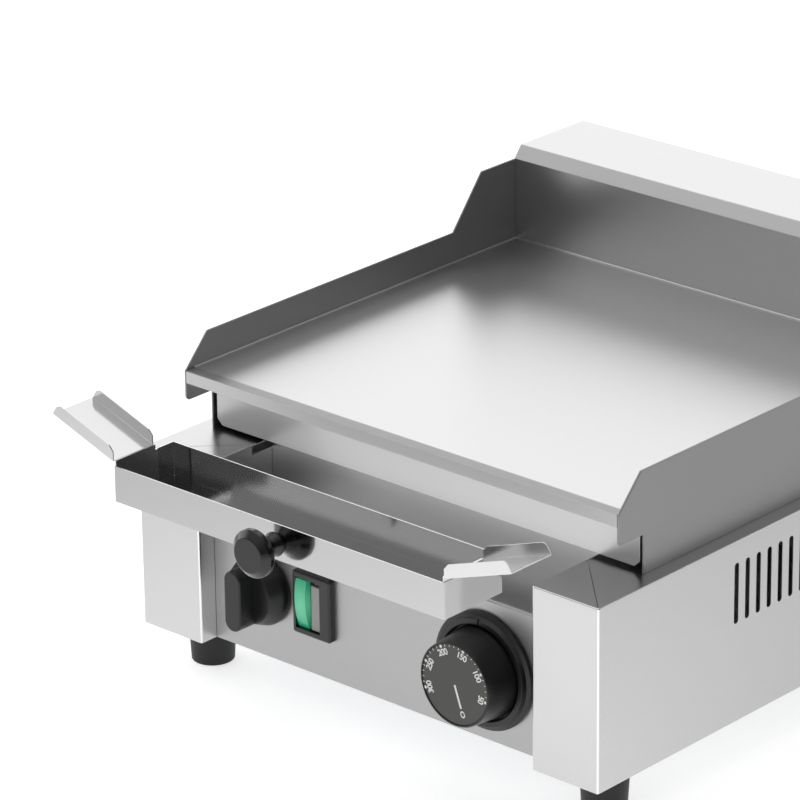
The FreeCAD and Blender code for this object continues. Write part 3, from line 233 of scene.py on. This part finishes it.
nodeFinish = {
    "left_shell": steel["backwards"], "right_shell": steel["backwards"], "control_panel": steel["panel"],
    "rear_panel": steel["sideways"], "base_plate": dullZinc, "griddle_plate": steel["plate"],
    "left_guard": steel["guard"], "right_guard": steel["guard"], "front_apron": steel["upper"],
    "rear_hood": steel["upper"], "drawer_tray": steel["drawer"], "left_wing": steel["chute"],
    "right_wing": steel["chute"], "drawer_pull": polishedPhenolic, "drawer_pull_screw": zincPlate,
    "switch_bezel": polishedPhenolic, "switch_body": satinNylon, "rocker": greenLens,
    "pilot_lens": frostedLens, "dial_flange": satinNylon, "thermostat_knob": satinNylon,
    "dial_disc": dialPaint, "thermostat_shaft": zincPlate, "thermostat_body": pressedMetal,
    "selector_knob": satinNylon, "selector_shaft": zincPlate, "selector_body": pressedMetal,
    "heating_element": sheathMetal, "element_clamps": dullZinc, "insulation_mat": mineralFelt,
    "heat_shield": dullZinc, "clamp_studs": zincPlate, "clamp_nuts": zincPlate, "sensor_bulb": drawnCopper,
    "safety_limiter": steatite, "terminal_block": steatite, "cable_gland": satinNylon,
    "gland_nut": satinNylon, "shell_screws": zincPlate, "foot_screws": zincPlate, "foot_nuts": zincPlate,
    "foot_front_left": footRubber, "foot_front_right": footRubber, "foot_rear_left": footRubber,
    "foot_rear_right": footRubber,
}
for nodeName, finish in nodeFinish.items():
    mesh = frame["nodes"][nodeName].data
    mesh.materials.clear()
    mesh.materials.append(finish)
    for face in mesh.polygons:
        face.material_index = 0
print("finishes on the nodes")


def attach(piece, body, finish):
    # gives a piece its finish and the body it rides on
    piece.data.materials.clear()
    piece.data.materials.append(finish)
    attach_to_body(piece, body)


# rounded edges: real sheets and mouldings have small worn or deburred edges that catch the light
# mergeGap is in millimetres and angles are in degrees; faces within flatAngle of each other are one flat
rounding = {"segments": 2, "mergeGap": 0.004, "flatAngle": 0.5, "faceWeight": 100}
# an edge is rounded where it turns by more than sharp, and shaded smooth where it turns by less than smooth
usualEdge = {"sharp": 28, "smooth": 30, "spare": None}
# turned pieces have shallow facets round them that stay as they are
turnedEdge = {"width": 0.2, "sharp": 35, "smooth": 35}
# width of each piece's rounded edge in millimetres
edges = {
    "left_guard": {"width": 0.45}, "right_guard": {"width": 0.45}, "front_apron": {"width": 0.4},
    "rear_hood": {"width": 0.5}, "control_panel": {"width": 0.25}, "left_wing": {"width": 0.15},
    "right_wing": {"width": 0.15}, "switch_bezel": {"width": 0.15}, "pilot_lens": {"width": 0.2},
    "rocker": {"width": 0.12}, "selector_knob": {"width": 0.2},
    # the lip's fold is only a few degrees, so the plate's shallow edges are rounded too
    "griddle_plate": {"width": 0.5, "sharp": 5},
    # rounding the hole behind the knob would fold over the long triangles beside it, so it is spared
    "drawer_tray": {"width": 0.15, "spare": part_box("drawer_pull_screw")},
    "drawer_pull": turnedEdge, "dial_flange": turnedEdge, "thermostat_knob": turnedEdge,
    "dial_disc": turnedEdge, "cable_gland": turnedEdge, "foot_front_left": turnedEdge,
    "foot_front_right": turnedEdge, "foot_rear_left": turnedEdge, "foot_rear_right": turnedEdge,
}


def softenEdges(nodeName, edge):
    # a copy of the node with its sharp edges rounded, apart from those inside the box spare
    piece = bpy.data.objects.new(nodeName + "_finished", frame["nodes"][nodeName].data.copy())
    bpy.context.scene.collection.objects.link(piece)
    bpy.ops.object.select_all(action="DESELECT")
    piece.select_set(True)
    bpy.context.view_layer.objects.active = piece
    bpy.ops.object.mode_set(mode="EDIT")
    bpy.ops.mesh.select_all(action="SELECT")
    bpy.ops.mesh.remove_doubles(threshold=rounding["mergeGap"] * mm)
    # fatter triangles on the flat faces, so that the bevel folds none over beside a hole
    bpy.ops.mesh.beautify_fill(angle_limit=math.radians(rounding["flatAngle"]))
    bpy.ops.mesh.select_all(action="DESELECT")
    bpy.ops.mesh.select_mode(type="EDGE")
    bpy.ops.mesh.edges_select_sharp(sharpness=math.radians(edge["sharp"]))
    bpy.ops.object.mode_set(mode="OBJECT")
    mesh = piece.data
    chosen = mesh.attributes.new("bevel_weight_edge", "FLOAT", "EDGE")
    for line in mesh.edges:
        middle = (mesh.vertices[line.vertices[0]].co + mesh.vertices[line.vertices[1]].co) / 2
        spared = edge["spare"] and all(low <= value <= high for low, value, high
                                       in zip(edge["spare"][0], middle, edge["spare"][1]))
        chosen.data[line.index].value = 1.0 if line.select and not spared else 0.0
    bevel = piece.modifiers.new("Bevel", "BEVEL")
    bevel.width = edge["width"] * mm
    bevel.segments = rounding["segments"]
    bevel.limit_method = "WEIGHT"
    bevel.use_clamp_overlap = False
    bevel.miter_outer = "MITER_SHARP"
    bpy.ops.object.modifier_apply(modifier="Bevel")
    bpy.ops.object.shade_smooth_by_angle(angle=math.radians(edge["smooth"]))
    # the wide faces keep their own direction and only the small edge faces turn
    weights = piece.modifiers.new("Weights", "WEIGHTED_NORMAL")
    weights.mode = "FACE_AREA_WITH_ANGLE"
    weights.weight = rounding["faceWeight"]
    weights.keep_sharp = True
    bpy.ops.object.modifier_apply(modifier="Weights")
    attach(piece, bodyOf[nodeName], nodeFinish[nodeName])
    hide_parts(nodeName)
    return piece


finished = {nodeName: softenEdges(nodeName, {**usualEdge, **edge}) for nodeName, edge in edges.items()}
print("edges softened")

# wide faces of the sheets: their least width in millimetres, and the cosine above which two directions are
# the same
wideFaces = {
    "pieces": ("left_guard", "right_guard", "front_apron", "rear_hood", "control_panel", "drawer_tray",
               "left_wing", "right_wing", "griddle_plate"),
    "least": 1.5, "sameWay": 0.99999,
}


def faceWidth(mesh, face):
    corners = [mesh.vertices[index].co for index in face.vertices]
    return face.area / max((a - b).length for a, b in zip(corners, corners[1:] + corners[:1]))


def flattenFaces(piece):
    # each wide face gets one true direction, so that it mirrors the room without a crease
    mesh = piece.data
    flats = []
    for face in mesh.polygons:
        known = any(face.normal.dot(flat) > wideFaces["sameWay"] for flat in flats)
        if not known and faceWidth(mesh, face) > wideFaces["least"] * mm:
            flats.append(face.normal.copy())
    directions = [corner.vector.copy() for corner in mesh.corner_normals]
    for face in mesh.polygons:
        for flat in flats:
            if face.normal.dot(flat) > wideFaces["sameWay"]:
                for corner in face.loop_indices:
                    directions[corner] = flat
    mesh.normals_split_custom_set(directions)


for nodeName in wideFaces["pieces"]:
    flattenFaces(finished[nodeName])
print("wide faces flattened")

# faces with a finish of their own, a painted shade or a painted highlight among them: a reach is in
# millimetres from a side of the piece's box, slopeBack and slopeFront are limits of a normal's Y, slopeUp
# and hemUp of its Z, and bendMost of its largest part
bands = {
    "bayReach": 1.5, "lipReach": 9, "slopeBack": -0.03, "slopeFront": -0.5, "slopeUp": 0.5,
    "bendReach": 3, "bendMost": 0.92, "hemReach": 1.0, "hemUp": 0.3,
}


def paintFaces(piece, finish, chosen):
    # gives the faces that chosen(centre, normal) picks a finish of their own, which may be a painted shade
    # or a painted highlight
    piece.data.materials.append(finish)
    for face in piece.data.polygons:
        if chosen(face.center, face.normal):
            face.material_index = len(piece.data.materials) - 1


# the drawer bay behind the panel is plain housing sheet
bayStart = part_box("control_panel")[0][1] + bands["bayReach"] * mm
paintFaces(finished["control_panel"], steel["sideways"], lambda centre, normal: centre.y > bayStart)
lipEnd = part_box("griddle_plate")[0][1] + bands["lipReach"] * mm
# painted shade: the lip's slope gets the darker copy of the plate's steel
paintFaces(finished["griddle_plate"], steel["shadedLipSlope"],
           lambda centre, normal: centre.y < lipEnd and normal.z > bands["slopeUp"]
           and bands["slopeFront"] < normal.y < bands["slopeBack"])
paintFaces(finished["griddle_plate"], steel["lipFront"],
           lambda centre, normal: centre.y < lipEnd and normal.y < bands["slopeFront"])
shellLow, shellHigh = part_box("right_shell")
bendFront, bendTop = shellLow[1] + bands["bendReach"] * mm, shellHigh[2] - bands["bendReach"] * mm
# painted highlight: the bends at the front and top of the shells get the near-white sheet
for nodeName in ("left_shell", "right_shell"):
    paintFaces(frame["nodes"][nodeName], steel["paintedHighlight"],
               lambda centre, normal: max(abs(value) for value in normal) < bands["bendMost"]
               and (centre.y < bendFront or centre.z > bendTop))
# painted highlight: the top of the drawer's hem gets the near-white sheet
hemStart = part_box("drawer_tray")[1][2] - bands["hemReach"] * mm
paintFaces(finished["drawer_tray"], steel["paintedHighlight"],
           lambda centre, normal: centre.z > hemStart and normal.z > bands["hemUp"])
print("lip, bends and hem painted")


# print on the thermostat dial, in millimetres and degrees; rings are distances from the dial's axis
dialPrint = {
    "startAngle": -52.0, "perDegree": 0.84, "first": 50, "last": 300, "tickEvery": 10, "numberEvery": 50,
    "dotRadius": 0.95, "dotRing": 23.6, "dotSides": 20, "tickRing": 23.9, "tickLength": 1.5,
    "tickWidth": 0.45, "numberRing": 19.9, "numberHeight": 4.1, "fontPerHeight": 1.35, "fontSpacing": 0.9,
    "strokeGrowth": 0.11, "zeroAngle": -70.5, "zeroRing": 18.0, "zeroOuter": 1.9, "zeroInner": 1.15,
    "zeroSides": (32, 8), "zeroShape": (0.9, 1.15, 0.13), "lineLength": 14.4, "lineWidth": 1.4,
    "thick": 0.05, "lift": 0.01,
}
dialAxis = next(joint["pos_m"] for joint in behaviour["joints"] if joint["name"] == "thermostat_turn")
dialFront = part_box("dial_disc")[0][1]


def dialPiece(angle, radius):
    # puts the active object, drawn flat about its own centre with its top along +Y, on the dial face
    piece = bpy.context.object
    centre = Vector((dialAxis[0] + radius * mm * math.cos(math.radians(angle)),
                     dialFront - dialPrint["lift"] * mm,
                     dialAxis[2] + radius * mm * math.sin(math.radians(angle))))
    spin = Matrix.Rotation(math.radians(angle - 90), 4, "Z")
    stand = Matrix.Rotation(math.radians(90), 4, "X")
    piece.data.transform(Matrix.Translation(centre) @ stand @ spin @ piece.matrix_basis)
    piece.matrix_basis = Matrix.Identity(4)
    return piece


def stretchActive(size):
    # stretches the active mesh about its own centre
    bpy.ops.object.mode_set(mode="EDIT")
    bpy.ops.mesh.select_all(action="SELECT")
    bpy.ops.transform.resize(value=size)
    bpy.ops.object.mode_set(mode="OBJECT")


def dialNumber(text, angle):
    bpy.ops.object.select_all(action="DESELECT")
    bpy.ops.object.text_add(location=(0, 0, 0))
    words = bpy.context.object.data
    words.body = text
    words.align_x = "CENTER"
    words.align_y = "CENTER"
    words.size = dialPrint["numberHeight"] * dialPrint["fontPerHeight"] * mm
    words.offset = dialPrint["strokeGrowth"] * mm
    words.space_character = dialPrint["fontSpacing"]
    words.extrude = dialPrint["thick"] * mm
    bpy.ops.object.convert(target="MESH")
    return dialPiece(angle, dialPrint["numberRing"])


def dialBar(angle, radius, length, width):
    bpy.ops.object.select_all(action="DESELECT")
    bpy.ops.mesh.primitive_cube_add(size=1)
    stretchActive((width * mm, length * mm, 2 * dialPrint["thick"] * mm))
    return dialPiece(angle, radius)


def dialDot(angle):
    bpy.ops.object.select_all(action="DESELECT")
    bpy.ops.mesh.primitive_cylinder_add(vertices=dialPrint["dotSides"], radius=dialPrint["dotRadius"] * mm,
                                        depth=2 * dialPrint["thick"] * mm)
    return dialPiece(angle, dialPrint["dotRing"])


def dialZero():
    middle = (dialPrint["zeroOuter"] + dialPrint["zeroInner"]) / 2 * mm
    half = (dialPrint["zeroOuter"] - dialPrint["zeroInner"]) / 2 * mm
    around, section = dialPrint["zeroSides"]
    bpy.ops.object.select_all(action="DESELECT")
    bpy.ops.mesh.primitive_torus_add(major_segments=around, minor_segments=section, major_radius=middle,
                                     minor_radius=half)
    stretchActive(dialPrint["zeroShape"])
    return dialPiece(dialPrint["zeroAngle"], dialPrint["zeroRing"])


marks = [dialZero(), dialBar(dialPrint["zeroAngle"], dialPrint["lineLength"] / 2, dialPrint["lineLength"],
                             dialPrint["lineWidth"])]
for degrees in range(dialPrint["first"], dialPrint["last"] + 1, dialPrint["tickEvery"]):
    angle = dialPrint["startAngle"] + degrees * dialPrint["perDegree"]
    if degrees % dialPrint["numberEvery"]:
        marks.append(dialBar(angle, dialPrint["tickRing"], dialPrint["tickLength"], dialPrint["tickWidth"]))
    else:
        marks += [dialDot(angle), dialNumber(str(degrees), angle)]
bpy.ops.object.select_all(action="DESELECT")
for mark in marks:
    mark.select_set(True)
bpy.context.view_layer.objects.active = marks[0]
bpy.ops.object.join()
marks[0].name = "dial_print"
attach(marks[0], "thermostat", whiteInk)
print("dial printed")


# weld seams where the plate meets the guards and the backsplash, in millimetres and degrees
seams = {"radius": 0.75, "sides": 10, "smooth": 50, "sideInset": 0.15, "backInset": 0.2, "frontGap": 7}


def weldSeam(name, start, end, finish):
    # a thin smooth bead along a corner
    start, end = Vector(start), Vector(end)
    bpy.ops.object.select_all(action="DESELECT")
    bpy.ops.mesh.primitive_cylinder_add(vertices=seams["sides"], radius=seams["radius"] * mm,
                                        depth=(end - start).length)
    bead = bpy.context.object
    turn = Vector((0, 0, 1)).rotation_difference((end - start).normalized()).to_matrix().to_4x4()
    bead.data.transform(Matrix.Translation((start + end) / 2) @ turn)
    bead.name = name
    bpy.ops.object.shade_smooth_by_angle(angle=math.radians(seams["smooth"]))
    attach(bead, "housing", finish)


plateLow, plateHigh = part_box("griddle_plate")
seamFront, seamBack = plateLow[1] + seams["frontGap"] * mm, plateHigh[1] - seams["backInset"] * mm
for side, name in ((-1, "left"), (1, "right")):
    x = (plateHigh[0] - seams["sideInset"] * mm) * side
    weldSeam(name + "_plate_seam", (x, seamFront, plateHigh[2]), (x, plateHigh[1], plateHigh[2]),
             steel["backwards"])
weldSeam("back_plate_seam", (plateLow[0], seamBack, plateHigh[2]), (plateHigh[0], seamBack, plateHigh[2]),
         steel["sideways"])
print("seams laid")


# floor, in metres: a painted pool of light, a glow that the metal sees on the floor in front of the object,
# which fades away from there
floorLook = {
    "colour": "#F4F4F4", "rough": 0.9, "reach": 6.0, "drop": 0.0002, "seenGlow": 0.62,
    "poolPlace": (0.12, -0.35, 0.0), "poolNear": 0.15, "poolFar": 0.72, "poolHigh": 0.68, "poolLow": 0.15,
}


def paleFloor():
    material, tree = newMaterial("matt pale studio floor")
    position = addNode(tree, "ShaderNodeTexCoord")
    away = addNode(tree, "ShaderNodeVectorMath", {"operation": "DISTANCE"}, {1: floorLook["poolPlace"]},
                   {0: (position, "Object")})
    # painted pool of light: the floor's glow falls off with the distance from poolPlace
    paintedPool = addNode(tree, "ShaderNodeMapRange", {},
                     {"From Min": floorLook["poolNear"], "From Max": floorLook["poolFar"],
                      "To Min": floorLook["poolHigh"], "To Max": floorLook["poolLow"]},
                     {"Value": (away, "Value")})
    rays = addNode(tree, "ShaderNodeLightPath")
    glow = addNode(tree, "ShaderNodeMix", {}, {"B": floorLook["seenGlow"]},
                   {"Factor": (rays, "Is Camera Ray"), "A": (paintedPool, "Result")})
    addSurface(tree, {"Base Color": hexToLinear(floorLook["colour"]), "Roughness": floorLook["rough"],
                      "Emission Color": (1, 1, 1, 1)}, {"Emission Strength": (glow, "Result")})
    return material


bpy.ops.object.select_all(action="DESELECT")
bpy.ops.mesh.primitive_plane_add(size=floorLook["reach"] * 2, location=(0, 0, -floorLook["drop"]))
floor = bpy.context.object
floor.name = "floor"
floor.data.materials.append(paleFloor())

# what the metal mirrors: a wide soft window behind and to the left, a wall in front on the left that is
# paler higher up, a small card high at the back for the drawer's left chute, and a dim room that is lighter
# above; a side is a direction, and a pair holds the cosines to it between which the light changes
studio = {
    "up": (0.0, 0.0, 1.0), "roomLight": 0.09, "aboveLight": 0.5, "aboveEdge": (0.6, 0.9),
    "windowSide": (-0.67, 0.74, 0.0), "windowEdge": (-0.1, 0.4), "windowTop": (0.4, 0.62),
    "windowLight": 1.52, "wallSide": (-0.62, -0.78, 0.0), "wallEdge": (0.1, 0.6), "wallRise": (0.3, 0.6),
    "wallLow": 0.24, "wallHigh": 0.47, "cardSide": (-0.254, 0.686, 0.682), "cardEdge": (0.95, 0.985),
    "cardLight": 0.4,
}
world = bpy.data.worlds.new("studio")
bpy.context.scene.world = world
world.use_nodes = True
sky = world.node_tree
sky.nodes.clear()
rays = addNode(sky, "ShaderNodeLightPath")
direction = addNode(sky, "ShaderNodeTexCoord")


def lightTowards(side, edge, low=0.0, high=1.0, blend="SMOOTHSTEP"):
    # a level that goes from low to high as the direction turns towards side
    towards = addNode(sky, "ShaderNodeVectorMath", {"operation": "DOT_PRODUCT"}, {1: side},
                      {0: (direction, "Generated")})
    level = addNode(sky, "ShaderNodeMapRange", {"interpolation_type": blend},
                    {"From Min": edge[0], "From Max": edge[1], "To Min": low, "To Max": high},
                    {"Value": (towards, "Value")})
    return level, "Result"


window = addNode(sky, "ShaderNodeMath", {"operation": "MULTIPLY"}, {},
                 {0: lightTowards(studio["windowSide"], studio["windowEdge"]),
                  1: lightTowards(studio["up"], studio["windowTop"], studio["windowLight"], 0.0)})
wall = addNode(sky, "ShaderNodeMath", {"operation": "MULTIPLY"}, {},
               {0: lightTowards(studio["wallSide"], studio["wallEdge"]),
                1: lightTowards(studio["up"], studio["wallRise"], studio["wallLow"], studio["wallHigh"],
                                "LINEAR")})
card = lightTowards(studio["cardSide"], studio["cardEdge"], 0.0, studio["cardLight"])
level = lightTowards(studio["up"], studio["aboveEdge"], studio["roomLight"], studio["aboveLight"])
for light in ((wall, "Value"), (window, "Value"), card):
    level = addNode(sky, "ShaderNodeMath", {"operation": "ADD"}, {}, {0: light, 1: level}), "Value"
ambient = addNode(sky, "ShaderNodeBackground", {}, {"Color": (1, 1, 1, 1)}, {"Strength": level})
backdrop = addNode(sky, "ShaderNodeBackground", {}, {"Color": (1, 1, 1, 1), "Strength": 1.0})
shown = addNode(sky, "ShaderNodeMixShader", {}, {},
                {"Fac": (rays, "Is Camera Ray"), 1: (ambient, "Background"), 2: (backdrop, "Background")})
addNode(sky, "ShaderNodeOutputWorld", links={"Surface": (shown, "Shader")})

# one soft lamp above, in metres and watts
softbox = {"place": (-0.5, 0.3, 2.3), "aim": (0, 0, 0.1), "size": 2.4, "watts": 11}
bpy.ops.object.select_all(action="DESELECT")
bpy.ops.object.light_add(type="AREA", location=softbox["place"])
lamp = bpy.context.object
lamp.name = "softboxAbove"
lamp.data.shape = "SQUARE"
lamp.data.size = softbox["size"]
lamp.data.energy = softbox["watts"]
beam = Vector(softbox["aim"]) - Vector(softbox["place"])
lamp.rotation_euler = beam.to_track_quat("-Z", "Y").to_euler()

# camera: place and clip in metres, angles in degrees, focal length and sensor in millimetres
lens = {
    "place": (1.7370, -2.039975, 1.2543), "azimuth": 42.23, "elevation": 21.99, "roll": -0.71,
    "focal": 216.96, "sensor": 36, "clip": (0.1, 50),
}
bpy.ops.object.camera_add(location=lens["place"])
camera = bpy.context.object
turn = (Matrix.Rotation(math.radians(lens["azimuth"]), 4, "Z") @
        Matrix.Rotation(math.radians(90 - lens["elevation"]), 4, "X") @
        Matrix.Rotation(math.radians(lens["roll"]), 4, "Z"))
camera.matrix_world = Matrix.Translation(lens["place"]) @ turn
camera.data.lens = lens["focal"]
camera.data.sensor_width = lens["sensor"]
camera.data.clip_start, camera.data.clip_end = lens["clip"]
bpy.context.scene.camera = camera
bpy.context.scene.view_settings.view_transform = "Standard"
print("studio ready")
